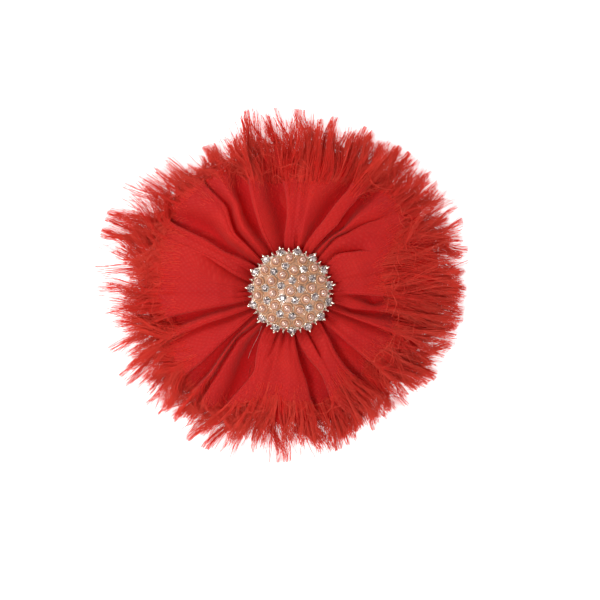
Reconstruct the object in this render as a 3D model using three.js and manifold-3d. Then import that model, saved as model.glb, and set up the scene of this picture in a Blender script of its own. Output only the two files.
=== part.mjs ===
// Flower hair clip: a gathered chiffon flower with frayed petals, a jewelled button at its centre,
// a felt disc behind it and a sprung metal alligator clip glued to the felt.
//
// Millimetres, +Z up. The flower faces up and the clip lies under it on the surface z = 0.
// X runs along the clip, from its handles (-X) to its jaws (+X). The button's axis is x = y = 0.

import * as THREE from 'three';
import { mergeVertices } from 'three/addons/utils/BufferGeometryUtils.js';
import Module from 'manifold-3d';

const wasm = await Module();
wasm.setup();

// ---------------------------------------------------------------- driving dimensions

const GAP = 0.3; // clearance kept between pieces that touch

// the clip
const SHEET = 0.6; // sheet metal thickness
const JAW_TOP = 7.9; // outer face of the glued jaw
const CLIP_BACK = -21; // handle end
const CLIP_FRONT = 23.5; // jaw tip
const FIXED_HALF_WIDTH = 4.1;
const LEVER_HALF_WIDTH = 3.0; // between the glued jaw's ears
const LEVER_PAD_HALF_WIDTH = 4.0; // finger pad of the lever
const TIP_HALF_WIDTH = 2.6;
const TEETH_START = 14.0; // the teeth run from here to the tip
const TOOTH_PITCH = 2.3;
const TOOTH_HEIGHT = 0.6;
const BITE_GAP = 0.45; // between the two rows of teeth when shut
const PIN_X = -9;
const PIN_Z = 4.9;
const PIN_RADIUS = 0.75;
const EAR_RADIUS = 1.75;
const EAR_HALF_LENGTH = 3.0;
const WIRE_RADIUS = 0.3;
const COIL_RADIUS = 1.5; // of the wire's centre line
const COIL_TURNS = 3.5;
const COIL_HALF_LENGTH = 1.7;

// glue, felt and thread
const CLIP_GLUE_THICKNESS = 0.6;
const FELT_RADIUS = 17;
const FELT_THICKNESS = 1.2;
const GLUE_CORE_RADIUS = 3.4;
const THREAD_RING_RADIUS = 4.0;
const THREAD_RADIUS = 0.2;

// the gathered chiffon
const RUFFLE_HOLE_RADIUS = 4.6;
const LOWER_RUFFLE_RADIUS = 50;
const UPPER_RUFFLE_RADIUS = 46;
const RIM_HEIGHT = 0.5; // underside of the lowest petals' rim

// the button
const BUTTON_RADIUS = 11.2;
const DOME_CURVATURE = 19.5;
const DOME_RISE = 3.4;
const BUTTON_EDGE = 1.6; // height of the edge below the dome
const ENAMEL_THICKNESS = 0.4;
const ENAMEL_RADIUS = 9.9;
const EDGE_CLAWS = 15;
const CLAW_REACH = 12.3; // radius over the claw tips

// ---------------------------------------------------------------- heights that follow

const JAW_INNER = JAW_TOP - SHEET;
const GLUE_BOTTOM = JAW_TOP + GAP;
const FELT_BOTTOM = GLUE_BOTTOM + CLIP_GLUE_THICKNESS + GAP;
const FELT_TOP = FELT_BOTTOM + FELT_THICKNESS;
const CLOTH_BOTTOM = FELT_TOP + GAP;
const LOWER_THICKNESS = 2.8;
const UPPER_BOTTOM = CLOTH_BOTTOM + LOWER_THICKNESS + GAP;
const BUTTON_BOTTOM = UPPER_BOTTOM + 3.2;
const EDGE_TOP = BUTTON_BOTTOM + BUTTON_EDGE;
const DOME_CENTRE_Z = EDGE_TOP + DOME_RISE - DOME_CURVATURE;
const STONE_SEAT_RADIUS = DOME_CURVATURE + ENAMEL_THICKNESS + 2 * GAP;

// ---------------------------------------------------------------- materials

function material(color, roughness, metalness) {
  return new THREE.MeshStandardMaterial({ color, roughness, metalness });
}

const chiffonRed = material('#ba2b23', 0.85, 0);
const feltRed = material('#a5201d', 1.0, 0);
const threadRed = material('#9c1a1a', 0.8, 0);
const clearGlue = material('#d9cfc2', 0.4, 0);
const clipSteel = material('#c3c5c8', 0.28, 1);
const springSteel = material('#9b9da0', 0.35, 1);
const paleGold = material('#e0d2ba', 0.25, 1);
const peachEnamel = material('#bb9780', 0.3, 0);
const pearl = material('#e9d3c8', 0.25, 0);
const crystal = material('#e8e6ea', 0.05, 0);

// ---------------------------------------------------------------- building blocks

const flower = new THREE.Group();

function addPiece(name, geometry, look, parent = flower) {
  const mesh = new THREE.Mesh(geometry, look);
  mesh.name = name;
  parent.add(mesh);
  return mesh;
}

function toSolid(geometry) {
  const bare = geometry.clone();
  bare.deleteAttribute('normal');
  bare.deleteAttribute('uv');
  const merged = mergeVertices(bare, 1e-4);
  const vertProperties = new Float32Array(merged.attributes.position.array);
  const triVerts = new Uint32Array(merged.index.array);
  return new wasm.Manifold(new wasm.Mesh({ numProp: 3, vertProperties, triVerts }));
}

function toGeometry(solid) {
  const mesh = solid.getMesh();
  const geometry = new THREE.BufferGeometry();
  geometry.setAttribute('position', new THREE.BufferAttribute(mesh.vertProperties, 3));
  geometry.setIndex(new THREE.BufferAttribute(mesh.triVerts, 1));
  geometry.computeVertexNormals();
  return geometry;
}

// A lathe about +Z, from [radius, height] points that run anticlockwise and end on the axis or close.
function turned(points, segments) {
  const profile = points.map(([r, z]) => new THREE.Vector2(r, z));
  return new THREE.LatheGeometry(profile, segments).rotateX(Math.PI / 2);
}

function outline(points) {
  return new THREE.Shape(points.map(([x, y]) => new THREE.Vector2(x, y)));
}

// A side view in x and z, extruded across the clip between y = -halfWidth and y = halfWidth.
function acrossClip(shape, halfWidth, curveSegments = 8) {
  const settings = { depth: 2 * halfWidth, bevelEnabled: false, curveSegments };
  return new THREE.ExtrudeGeometry(shape, settings)
    .translate(0, 0, -halfWidth)
    .rotateX(Math.PI / 2);
}

// A plan view in x and y, extruded upwards from bottom to top.
function upwards(shape, bottom, top, curveSegments = 8) {
  const settings = { depth: top - bottom, bevelEnabled: false, curveSegments };
  return new THREE.ExtrudeGeometry(shape, settings).translate(0, 0, bottom);
}

function wireAlong(path, radius, sides, steps) {
  const section = new THREE.Shape();
  for (let k = 0; k < sides; k += 1) {
    const angle = (2 * Math.PI * k) / sides;
    const point = [radius * Math.cos(angle), radius * Math.sin(angle)];
    if (k === 0) section.moveTo(...point);
    else section.lineTo(...point);
  }
  return new THREE.ExtrudeGeometry(section, { steps, bevelEnabled: false, extrudePath: path });
}

// ---------------------------------------------------------------- the alligator clip

// The biting edge of a jaw: a zigzag below the height given, from the first tooth to the tip.
function toothLine(height) {
  const points = [];
  const teeth = Math.floor((CLIP_FRONT - TEETH_START) / TOOTH_PITCH);
  for (let k = 0; k <= teeth; k += 1) {
    const x = TEETH_START + k * TOOTH_PITCH;
    points.push([x, height]);
    if (k < teeth) points.push([x + TOOTH_PITCH / 2, height - TOOTH_HEIGHT]);
  }
  return points;
}

// The plan of a jaw: a padded handle, a neck between the ears and a taper to a round tip.
function jawPlan(padHalf, neckHalf, tipHalf) {
  const neckBack = PIN_X - EAR_HALF_LENGTH - 1.5;
  const plan = new THREE.Shape();
  plan.moveTo(CLIP_BACK + 2, -padHalf);
  plan.lineTo(neckBack - 2, -padHalf);
  plan.quadraticCurveTo(neckBack - 0.6, -padHalf, neckBack, -neckHalf);
  plan.lineTo(PIN_X + EAR_HALF_LENGTH + 2, -neckHalf);
  plan.lineTo(CLIP_FRONT - 1.5, -tipHalf);
  plan.quadraticCurveTo(CLIP_FRONT, -tipHalf, CLIP_FRONT, -tipHalf + 1.5);
  plan.lineTo(CLIP_FRONT, tipHalf - 1.5);
  plan.quadraticCurveTo(CLIP_FRONT, tipHalf, CLIP_FRONT - 1.5, tipHalf);
  plan.lineTo(PIN_X + EAR_HALF_LENGTH + 2, neckHalf);
  plan.lineTo(neckBack, neckHalf);
  plan.quadraticCurveTo(neckBack - 0.6, padHalf, neckBack - 2, padHalf);
  plan.lineTo(CLIP_BACK + 2, padHalf);
  plan.quadraticCurveTo(CLIP_BACK, padHalf, CLIP_BACK, padHalf - 2);
  plan.lineTo(CLIP_BACK, -padHalf + 2);
  plan.quadraticCurveTo(CLIP_BACK, -padHalf, CLIP_BACK + 2, -padHalf);
  return plan;
}

// An ear: a strap from the sheet to a round end about the pin, holed for the pin.
function ear(root, halfLength, innerY) {
  const side = Math.sign(root - PIN_Z);
  const shape = new THREE.Shape();
  shape.moveTo(PIN_X - halfLength, root);
  shape.lineTo(PIN_X - EAR_RADIUS, PIN_Z);
  shape.absarc(PIN_X, PIN_Z, EAR_RADIUS, Math.PI, 0, side < 0);
  shape.lineTo(PIN_X + halfLength, root);
  const hole = new THREE.Path();
  hole.absarc(PIN_X, PIN_Z, PIN_RADIUS + GAP, 0, 2 * Math.PI, false);
  shape.holes.push(hole);
  return acrossClip(shape, SHEET / 2).translate(0, innerY, 0);
}

function fixedJaw() {
  const teeth = toothLine(JAW_INNER);
  const side = outline([
    [CLIP_BACK, JAW_INNER],
    ...teeth,
    [CLIP_FRONT, JAW_INNER],
    [CLIP_FRONT, JAW_TOP],
    [CLIP_BACK, JAW_TOP],
  ]);
  const plan = jawPlan(FIXED_HALF_WIDTH, FIXED_HALF_WIDTH, TIP_HALF_WIDTH + 0.3);
  const sheet = toSolid(acrossClip(side, FIXED_HALF_WIDTH + 1));
  let jaw = sheet.intersect(toSolid(upwards(plan, 0, JAW_TOP + 1)));
  const earY = LEVER_HALF_WIDTH + GAP + SHEET / 2;
  for (const y of [-earY, earY]) {
    jaw = jaw.add(toSolid(ear(JAW_INNER + SHEET / 2, EAR_HALF_LENGTH, y)));
  }
  return toGeometry(jaw);
}

function leverJaw() {
  const teeth = toothLine(JAW_INNER - BITE_GAP);
  const padFront = CLIP_BACK + 4;
  const bendBack = PIN_X - 2;
  const bendFront = PIN_X + 2;
  const bendHeight = 2.2; // outer face under the pin
  const noseHeight = JAW_INNER - BITE_GAP - TOOTH_HEIGHT - SHEET;
  const side = outline([
    [CLIP_BACK, 0],
    [padFront, 0],
    [bendBack, bendHeight],
    [bendFront, bendHeight],
    [TEETH_START - 0.6, noseHeight],
    [CLIP_FRONT, noseHeight],
    [CLIP_FRONT, JAW_INNER - BITE_GAP],
    ...teeth.reverse(),
    [TEETH_START - 1, noseHeight + SHEET + 0.1],
    [bendFront, bendHeight + SHEET],
    [bendBack, bendHeight + SHEET],
    [padFront, SHEET],
    [CLIP_BACK, SHEET],
  ]);
  const plan = jawPlan(LEVER_PAD_HALF_WIDTH, LEVER_HALF_WIDTH, TIP_HALF_WIDTH);
  const sheet = toSolid(acrossClip(side, LEVER_PAD_HALF_WIDTH + 1));
  let jaw = sheet.intersect(toSolid(upwards(plan, -1, JAW_TOP)));
  const earY = LEVER_HALF_WIDTH - SHEET / 2;
  for (const y of [-earY, earY]) {
    jaw = jaw.add(toSolid(ear(bendHeight + SHEET / 2, bendFront - PIN_X, y)));
  }
  return toGeometry(jaw);
}

function hingePin() {
  const headRadius = PIN_RADIUS + 0.55;
  const neck = LEVER_HALF_WIDTH + GAP + SHEET + GAP; // outside the glued jaw's ears
  const head = neck + 0.5;
  return turned(
    [[0, -head], [headRadius, -head], [headRadius, -neck], [PIN_RADIUS, -neck],
      [PIN_RADIUS, neck], [headRadius, neck], [headRadius, head], [0, head]],
    16,
  ).rotateX(Math.PI / 2).translate(PIN_X, 0, PIN_Z);
}

// A torsion spring: a coil round the pin with both legs pressing the handles apart.
class SpringPath extends THREE.Curve {
  constructor() {
    super();
    this.legLength = 7.5;
    this.coilLength = 2 * Math.PI * COIL_RADIUS * COIL_TURNS;
    this.total = this.coilLength + 2 * this.legLength;
  }

  getPoint(t, target = new THREE.Vector3()) {
    const s = t * this.total;
    const inCoil = Math.min(Math.max(s - this.legLength, 0), this.coilLength);
    const turn = (inCoil / this.coilLength) * 2 * Math.PI * COIL_TURNS;
    const y = -COIL_HALF_LENGTH + (2 * COIL_HALF_LENGTH * inCoil) / this.coilLength;
    const upperLeg = Math.max(this.legLength - s, 0);
    const lowerLeg = Math.max(s - this.legLength - this.coilLength, 0);
    const x = PIN_X + COIL_RADIUS * Math.sin(turn) - upperLeg - lowerLeg;
    const bendUp = 0.004 * upperLeg * upperLeg;
    const bendDown = 0.026 * lowerLeg * lowerLeg;
    return target.set(x, y, PIN_Z + COIL_RADIUS * Math.cos(turn) + bendUp - bendDown);
  }
}

function torsionSpring() {
  const sides = 6;
  const steps = 64;
  return wireAlong(new SpringPath(), WIRE_RADIUS, sides, steps);
}

addPiece('clip_fixed_jaw', fixedJaw(), clipSteel);
addPiece('clip_lever_jaw', leverJaw(), clipSteel);
addPiece('hinge_pin', hingePin(), clipSteel);
addPiece('torsion_spring', torsionSpring(), springSteel);

// ---------------------------------------------------------------- felt, glue and thread

function clipGlue() {
  const front = 15;
  const back = -14;
  const half = 2.8;
  const bead = new THREE.Shape();
  bead.absarc(front, 0, half, -Math.PI / 2, Math.PI / 2, false);
  bead.absarc(back, 0, half, Math.PI / 2, (3 * Math.PI) / 2, false);
  return upwards(bead, GLUE_BOTTOM, GLUE_BOTTOM + CLIP_GLUE_THICKNESS, 6);
}

addPiece('clip_glue', clipGlue(), clearGlue);

const feltDisc = turned(
  [[0, FELT_BOTTOM], [FELT_RADIUS, FELT_BOTTOM], [FELT_RADIUS, FELT_TOP], [0, FELT_TOP]],
  40,
);
addPiece('felt_backing', feltDisc, feltRed);

const coreTop = BUTTON_BOTTOM - GAP;
const glueCore = turned(
  [[0, CLOTH_BOTTOM], [GLUE_CORE_RADIUS, CLOTH_BOTTOM], [GLUE_CORE_RADIUS, coreTop], [0, coreTop]],
  16,
);
addPiece('button_glue', glueCore, clearGlue);

const threadHeights = {
  gathering_thread_lower: CLOTH_BOTTOM + 1.4,
  gathering_thread_upper: UPPER_BOTTOM + 1.4,
};
for (const [name, height] of Object.entries(threadHeights)) {
  const ring = new THREE.TorusGeometry(THREAD_RING_RADIUS, THREAD_RADIUS, 6, 24);
  addPiece(name, ring, threadRed).position.z = height;
}

// ---------------------------------------------------------------- the chiffon ruffles

const lowerRuffle = turned(
  [
    [RUFFLE_HOLE_RADIUS, CLOTH_BOTTOM],
    [FELT_RADIUS + 0.5, CLOTH_BOTTOM],
    [32, 7.0],
    [LOWER_RUFFLE_RADIUS, RIM_HEIGHT],
    [LOWER_RUFFLE_RADIUS, RIM_HEIGHT + 1.7],
    [32, 9.8],
    [FELT_RADIUS + 0.5, UPPER_BOTTOM - GAP],
    [RUFFLE_HOLE_RADIUS, UPPER_BOTTOM - GAP],
    [RUFFLE_HOLE_RADIUS, CLOTH_BOTTOM],
  ],
  48,
);
addPiece('lower_ruffle', lowerRuffle, chiffonRed);

const upperRuffle = turned(
  [
    [RUFFLE_HOLE_RADIUS, UPPER_BOTTOM],
    [FELT_RADIUS + 0.5, UPPER_BOTTOM],
    [32, 10.2],
    [UPPER_RUFFLE_RADIUS, 4.5],
    [UPPER_RUFFLE_RADIUS, 6.5],
    [32, 13.4],
    [20, 16.8],
    [13.4, 17.8],
    [12.2, BUTTON_BOTTOM - GAP],
    [RUFFLE_HOLE_RADIUS, BUTTON_BOTTOM - GAP],
    [RUFFLE_HOLE_RADIUS, UPPER_BOTTOM],
  ],
  48,
);
addPiece('upper_ruffle', upperRuffle, chiffonRed);

// ---------------------------------------------------------------- the button

// Points of an arc of the dome, offset outwards, from the axis to the radius given.
function domeArc(offset, radius, steps) {
  const curvature = DOME_CURVATURE + offset;
  const sweep = Math.asin(radius / curvature);
  const points = [];
  for (let k = 0; k <= steps; k += 1) {
    const angle = (sweep * k) / steps;
    const height = DOME_CENTRE_Z + curvature * Math.cos(angle);
    points.push([curvature * Math.sin(angle), height]);
  }
  return points;
}

// A claw that leans outwards from the button's edge, with a round root and a fine tip.
function claw(angle, reach, rootRadius, length) {
  const lean = (55 * Math.PI) / 180;
  const direction = new THREE.Vector3(Math.sin(lean), 0, Math.cos(lean));
  const tip = new THREE.Vector3(reach, 0, EDGE_TOP + 0.5);
  const middle = tip.clone().addScaledVector(direction, -length / 2);
  return new THREE.CylinderGeometry(0.12, rootRadius, length, 6)
    .rotateX(Math.PI / 2)
    .rotateY(lean)
    .translate(middle.x, middle.y, middle.z)
    .rotateZ(angle);
}

function buttonSetting() {
  const underside = [[0, BUTTON_BOTTOM], [9.4, BUTTON_BOTTOM], [BUTTON_RADIUS, EDGE_TOP - 0.7]];
  const dome = domeArc(0, BUTTON_RADIUS - 0.3, 7).reverse();
  let setting = toSolid(turned([...underside, ...dome], 60));
  for (let k = 0; k < EDGE_CLAWS; k += 1) {
    const stoneAngle = (2 * Math.PI * k) / EDGE_CLAWS + (8 * Math.PI) / 180;
    const between = stoneAngle + Math.PI / EDGE_CLAWS;
    setting = setting.add(toSolid(claw(stoneAngle, CLAW_REACH, 0.75, 2.6)));
    setting = setting.add(toSolid(claw(between, CLAW_REACH - 0.8, 0.5, 1.9)));
  }
  return toGeometry(setting);
}

addPiece('button_setting', buttonSetting(), paleGold);

const enamelUnder = domeArc(GAP, ENAMEL_RADIUS, 6);
const enamelOver = domeArc(GAP + ENAMEL_THICKNESS, ENAMEL_RADIUS, 6).reverse();
addPiece('enamel_fill', turned([...enamelUnder, ...enamelOver], 48), peachEnamel);

// Each stone sits on the dome with its own axis square to it.
function placeStone(name, geometry, look, radius, degrees) {
  const tilt = Math.asin(radius / STONE_SEAT_RADIUS);
  const spin = new THREE.Group();
  spin.position.z = DOME_CENTRE_Z;
  spin.rotation.z = (degrees * Math.PI) / 180;
  const lean = new THREE.Group();
  lean.rotation.y = tilt;
  spin.add(lean);
  flower.add(spin);
  addPiece(name, geometry, look, lean).position.z = STONE_SEAT_RADIUS;
}

// A flat-backed pearl: a flat foot and a round top, a little over half a ball.
function pearlGeometry(diameter) {
  const r = diameter / 2;
  const profile = [[0, 0], [0.8 * r, 0]];
  const firstAngle = (-36 * Math.PI) / 180;
  const steps = 5;
  for (let k = 1; k < steps; k += 1) {
    const angle = firstAngle + ((Math.PI / 2 - firstAngle) * k) / steps;
    profile.push([r * Math.cos(angle), 0.6 * r + r * Math.sin(angle)]);
  }
  profile.push([0, 1.6 * r]);
  return turned(profile, 10);
}

// A flat-backed rhinestone: girdle, crown facets and a flat table.
function rhinestoneGeometry(diameter) {
  const r = diameter / 2;
  return turned([[0, 0], [0.7 * r, 0], [r, 0.35 * r], [r, 0.45 * r], [0.5 * r, 0.95 * r],
    [0, 0.95 * r]], 8);
}

const PEARL = 2.1; // diameters
const CENTRE_PEARL = 2.3;
const RHINESTONE = 2.0;

placeStone('pearl_centre', pearlGeometry(CENTRE_PEARL), pearl, 0, 0);

// Rings of stones: name, kind, count, radius from the axis and angle of the first, in degrees.
const stoneRings = [
  ['rhinestone_inner', RHINESTONE, 5, 2.95, 8],
  ['pearl_inner', PEARL, 5, 4.9, 44],
  ['pearl_middle', PEARL, 5, 5.9, 8],
  ['pearl_outer', PEARL, 15, 9.1, 20],
];
for (const [ring, diameter, count, radius, first] of stoneRings) {
  const isPearl = ring.startsWith('pearl');
  for (let k = 0; k < count; k += 1) {
    const shape = isPearl ? pearlGeometry(diameter) : rhinestoneGeometry(diameter);
    const look = isPearl ? pearl : crystal;
    placeStone(`${ring}_${k + 1}`, shape, look, radius, first + (360 * k) / count);
  }
}

// The middle rhinestones stand in pairs, one each side of an inner pearl.
const PAIR_ANGLE = 14.5;
for (let k = 0; k < 10; k += 1) {
  const pair = 44 + 72 * Math.floor(k / 2);
  const side = k % 2 === 0 ? -PAIR_ANGLE : PAIR_ANGLE;
  placeStone(`rhinestone_middle_${k + 1}`, rhinestoneGeometry(RHINESTONE), crystal, 7.0, pair + side);
}

export default flower;
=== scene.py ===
"""A red chiffon hair flower on an alligator clip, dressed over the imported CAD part.

The flower lies face up, petals towards +Z, with the clip under it on the floor. Photo right is +X and
photo up is +Y. Lengths are in millimetres until add_mesh() turns them into metres, unless a name ends in _m
or _M. The scales of noise count per metre in object space and per millimetre on the flat cloth.
"""

import math
from typing import Callable, NamedTuple

import bpy
import numpy as np
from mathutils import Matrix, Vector


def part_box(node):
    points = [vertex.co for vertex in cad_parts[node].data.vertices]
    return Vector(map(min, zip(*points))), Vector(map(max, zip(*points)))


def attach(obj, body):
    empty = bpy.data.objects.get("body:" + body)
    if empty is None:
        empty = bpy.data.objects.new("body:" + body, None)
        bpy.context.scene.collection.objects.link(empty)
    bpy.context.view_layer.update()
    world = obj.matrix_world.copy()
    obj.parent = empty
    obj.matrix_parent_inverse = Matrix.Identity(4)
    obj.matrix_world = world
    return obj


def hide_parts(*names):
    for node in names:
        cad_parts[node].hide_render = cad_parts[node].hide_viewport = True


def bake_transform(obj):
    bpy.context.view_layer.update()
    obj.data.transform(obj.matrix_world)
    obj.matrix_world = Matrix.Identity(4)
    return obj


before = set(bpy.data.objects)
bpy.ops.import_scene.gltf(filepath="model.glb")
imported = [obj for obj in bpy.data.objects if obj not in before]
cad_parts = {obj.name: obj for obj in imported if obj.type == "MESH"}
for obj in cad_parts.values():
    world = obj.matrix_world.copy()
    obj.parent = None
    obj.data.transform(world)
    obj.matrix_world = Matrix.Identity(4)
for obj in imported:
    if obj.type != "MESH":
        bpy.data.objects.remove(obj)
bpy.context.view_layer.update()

MM = 0.001
ROOT = "flower"
SEED = 20
TURN = 360.0


# ---- mesh helpers


def add_mesh(name, points, faces, material, smooth=True, uv=None, tone_and_painted_shade=None):
    """A mesh object from points and a list of face index arrays, each of one corner count.

    uv holds a pair for each face corner. The last argument holds a value for each point: painted shade on the
    cloth strips, each thread's own tone on the fringe.
    """
    points = np.asarray(points, float).reshape(-1, 3)
    mesh = bpy.data.meshes.new(name)
    groups = [np.asarray(f, np.int32) for f in faces if len(f)]
    corners = np.concatenate([f.ravel() for f in groups])
    sizes = np.concatenate([np.full(len(f), f.shape[1], np.int32) for f in groups])
    mesh.vertices.add(len(points))
    mesh.vertices.foreach_set("co", (points * MM).astype(np.float32).ravel())
    mesh.loops.add(len(corners))
    mesh.loops.foreach_set("vertex_index", corners)
    mesh.polygons.add(len(sizes))
    starts = np.concatenate([[0], np.cumsum(sizes)[:-1]]).astype(np.int32)
    mesh.polygons.foreach_set("loop_start", starts)
    mesh.update(calc_edges=True)
    mesh.validate()
    mesh.polygons.foreach_set("use_smooth", np.full(len(mesh.polygons), smooth))
    if uv is not None:
        mesh.uv_layers.new(name="cloth").data.foreach_set("uv", uv.astype(np.float32).ravel())
    if tone_and_painted_shade is not None:
        attribute = mesh.attributes.new("tone_and_painted_shade", "FLOAT", "POINT")
        attribute.data.foreach_set("value", tone_and_painted_shade.astype(np.float32).ravel())
    mesh.materials.append(material)
    piece = bpy.data.objects.new(name, mesh)
    bpy.context.scene.collection.objects.link(piece)
    return piece


def place(piece, body, slot, *nodes):
    """Puts a piece on its body, in place of these CAD nodes. The slot argument is not used."""
    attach(piece, body)
    if nodes:
        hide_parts(*nodes)
    return piece


def ring_faces(rings, sides):
    """Quads between rings of points, each ring of that many sides."""
    i = np.arange(rings - 1)[:, None]
    j = np.arange(sides)[None, :]
    below, above = i * sides, (i + 1) * sides
    across = (j + 1) % sides
    quads = np.stack([below + j, below + across, above + across, above + j], axis=-1)
    return quads.reshape(-1, 4)


def lathe(profile, sides):
    """Points and quads of a (radius, height) profile turned about +Z. Its ends stay open."""
    profile = np.asarray(profile, float)
    turn = np.linspace(0, 2 * math.pi, sides, endpoint=False)
    radius, height = profile[:, None, 0], profile[:, None, 1]
    height = np.repeat(height, sides, axis=1)
    points = np.stack([radius * np.cos(turn), radius * np.sin(turn), height], axis=-1)
    return points.reshape(-1, 3), ring_faces(len(profile), sides)


def unit(vectors):
    return vectors / np.maximum(np.linalg.norm(vectors, axis=-1, keepdims=True), 1e-9)


def tubes(paths, radius, sides=3):
    """Points and quads of tubes along paths, shaped (tube, step, 3). radius is (tube, step) or less."""
    count, steps = paths.shape[:2]
    along = unit(np.gradient(paths, axis=1))
    up = np.where(np.abs(along[..., 2:]) < 0.9, [0.0, 0.0, 1.0], [1.0, 0.0, 0.0])
    side = unit(np.cross(along, up))
    over = np.cross(side, along)
    turn = np.linspace(0, 2 * math.pi, sides, endpoint=False)
    radius = np.broadcast_to(radius, (count, steps))[..., None, None]
    ring = np.cos(turn)[:, None] * side[:, :, None] + np.sin(turn)[:, None] * over[:, :, None]
    points = paths[:, :, None] + radius * ring
    one = ring_faces(steps, sides)
    start = np.arange(count)[:, None, None] * steps * sides
    return points.reshape(-1, 3), (start + one[None]).reshape(-1, 4)


class Parts:
    """Points and faces of several shapes for one mesh."""

    def __init__(self):
        self.points, self.faces, self.count = [], [], 0

    def add(self, points, *faces):
        points = np.asarray(points, float).reshape(-1, 3)
        self.points.append(points)
        self.faces += [np.asarray(f) + self.count for f in faces]
        self.count += len(points)

    def mesh(self, name, material, smooth=True):
        merged = {}
        for f in self.faces:
            merged.setdefault(f.shape[1], []).append(f)
        faces = [np.concatenate(group) for group in merged.values()]
        return add_mesh(name, np.concatenate(self.points), faces, material, smooth)


def smooth_step(x, low, high):
    t = np.clip((np.asarray(x, float) - low) / (high - low), 0, 1)
    return t * t * (3 - 2 * t)


def on_circle(degrees, radius, height):
    turn = np.radians(degrees)
    return np.stack([radius * np.cos(turn), radius * np.sin(turn), height + 0 * turn], axis=-1)


# ---- materials

CHIFFON_DARK = (0.51, 0.003, 0.004)
CHIFFON_LIGHT = (0.60, 0.010, 0.004)
CHIFFON_PAINTED_SHADE = (0.58, 0.000, 0.003)  # painted shade down in the folds, deeper and redder than the panels
CHIFFON_THROUGH = (0.865, 0.003, 0.004)
CHIFFON_SHEEN = {"Sheen Weight": 0.10, "Sheen Roughness": 0.5, "Sheen Tint": (1.0, 0.6, 0.5, 1)}
CLOTH_THROUGH = 0.42  # share of the light that goes through
CREPE = {"Scale": 0.42, "Distortion": 1.6, "Detail": 1.5, "Detail Scale": 1.2}
WRINKLES, CLOUDS = 0.9, 0.09  # scales of the wrinkles and of the slow changes of colour
FRINGE_DARK = (0.80, 0.006, 0.006)
FRINGE_LIGHT = (0.94, 0.12, 0.072)
FRINGE_THROUGH = (0.94, 0.062, 0.040)
FRINGE_SHEEN = {"Sheen Weight": 0.1, "Sheen Tint": (1.0, 0.4, 0.3, 1)}
FRINGE_SHARE = 0.50
METAL = {"Metallic": 1.0}
GLAZE = {"Coat Roughness": 0.05}
LUSTRE = {**GLAZE, "Metallic": 0.5, "Coat Weight": 1.0, "Coat IOR": 1.9, "Specular IOR Level": 0.8}
ENAMEL = {"Coat Weight": 0.35, "Coat Roughness": 0.15}
FELT_SHEEN = {"Sheen Weight": 0.5, "Sheen Tint": (1.0, 0.4, 0.35, 1)}
CLEAR = {"Transmission Weight": 0.9, "IOR": 1.48}


def set_sockets(node, values):
    for key, value in values.items():
        node.inputs[key].default_value = value


class Look:
    """A new material round a Principled shader, with short ways to add nodes to it."""

    def __init__(self, name, sockets=None):
        self.material = bpy.data.materials.new(name)
        self.material.use_nodes = True
        self.tree = self.material.node_tree
        self.shader = self.tree.nodes["Principled BSDF"]
        self.coordinates = self.node("ShaderNodeTexCoord").outputs
        set_sockets(self.shader, sockets or {})

    def node(self, kind, inputs=None, **settings):
        """A new node. Each input gets a value or is linked to the output given for it."""
        made = self.tree.nodes.new(kind)
        for key, value in settings.items():
            setattr(made, key, value)
        for key, value in (inputs or {}).items():
            if isinstance(value, bpy.types.NodeSocket):
                self.tree.links.new(value, made.inputs[key])
            else:
                made.inputs[key].default_value = value
        return made

    def join(self, output, socket):
        self.tree.links.new(output, self.shader.inputs[socket])

    def noise(self, vector, scale, detail):
        inputs = {"Vector": vector, "Scale": scale, "Detail": detail}
        return self.node("ShaderNodeTexNoise", inputs).outputs["Fac"]

    def tone_and_painted_shade(self):
        """The mesh's own per-point attribute: painted shade on the cloth strips, each thread's own tone on
        the fringe.
        """
        return self.node("ShaderNodeAttribute", attribute_name="tone_and_painted_shade").outputs["Fac"]

    def maths(self, operation, first, second):
        return self.node("ShaderNodeMath", {0: first, 1: second}, operation=operation).outputs["Value"]

    def ramp(self, value, stops):
        """A colour that goes through (position, colour) stops."""
        made = self.node("ShaderNodeValToRGB", {"Fac": value})
        elements = made.color_ramp.elements
        while len(elements) < len(stops):
            elements.new(0.5)
        for element, (position, colour) in zip(elements, stops, strict=True):
            element.position = position
            element.color = (*colour, 1)
        return made.outputs["Color"]

    def roughen(self, value, low, high):
        made = self.node("ShaderNodeMapRange", {"Value": value, "To Min": low, "To Max": high})
        self.join(made.outputs["Result"], "Roughness")

    def emboss(self, height, strength, distance):
        """Bumps up to that distance. Gives the bumped normal."""
        inputs = {"Height": height, "Strength": strength, "Distance": distance * MM}
        normal = self.node("ShaderNodeBump", inputs).outputs["Normal"]
        self.join(normal, "Normal")
        return normal

    def let_through(self, colour, share, normal=None):
        """Lets a share of the light through the cloth."""
        behind = self.node("ShaderNodeBsdfTranslucent", {"Color": (*colour, 1)})
        if normal is not None:
            self.tree.links.new(normal, behind.inputs["Normal"])
        both = {"Fac": share, 1: self.shader.outputs["BSDF"], 2: behind.outputs["BSDF"]}
        mixed = self.node("ShaderNodeMixShader", both).outputs["Shader"]
        self.tree.links.new(mixed, self.tree.nodes["Material Output"].inputs["Surface"])


def grained(name, dark, light, scale, roughness, bump, sockets=None, detail=4.0):
    """A material whose colour, roughness and bump follow one noise pattern in object space."""
    look = Look(name, sockets)
    noise = look.noise(look.coordinates["Object"], scale, detail)
    look.join(look.ramp(noise, [(0.3, dark), (0.7, light)]), "Base Color")
    look.roughen(noise, *roughness)
    look.emboss(noise, bump, 0.1)
    return look.material


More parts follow.
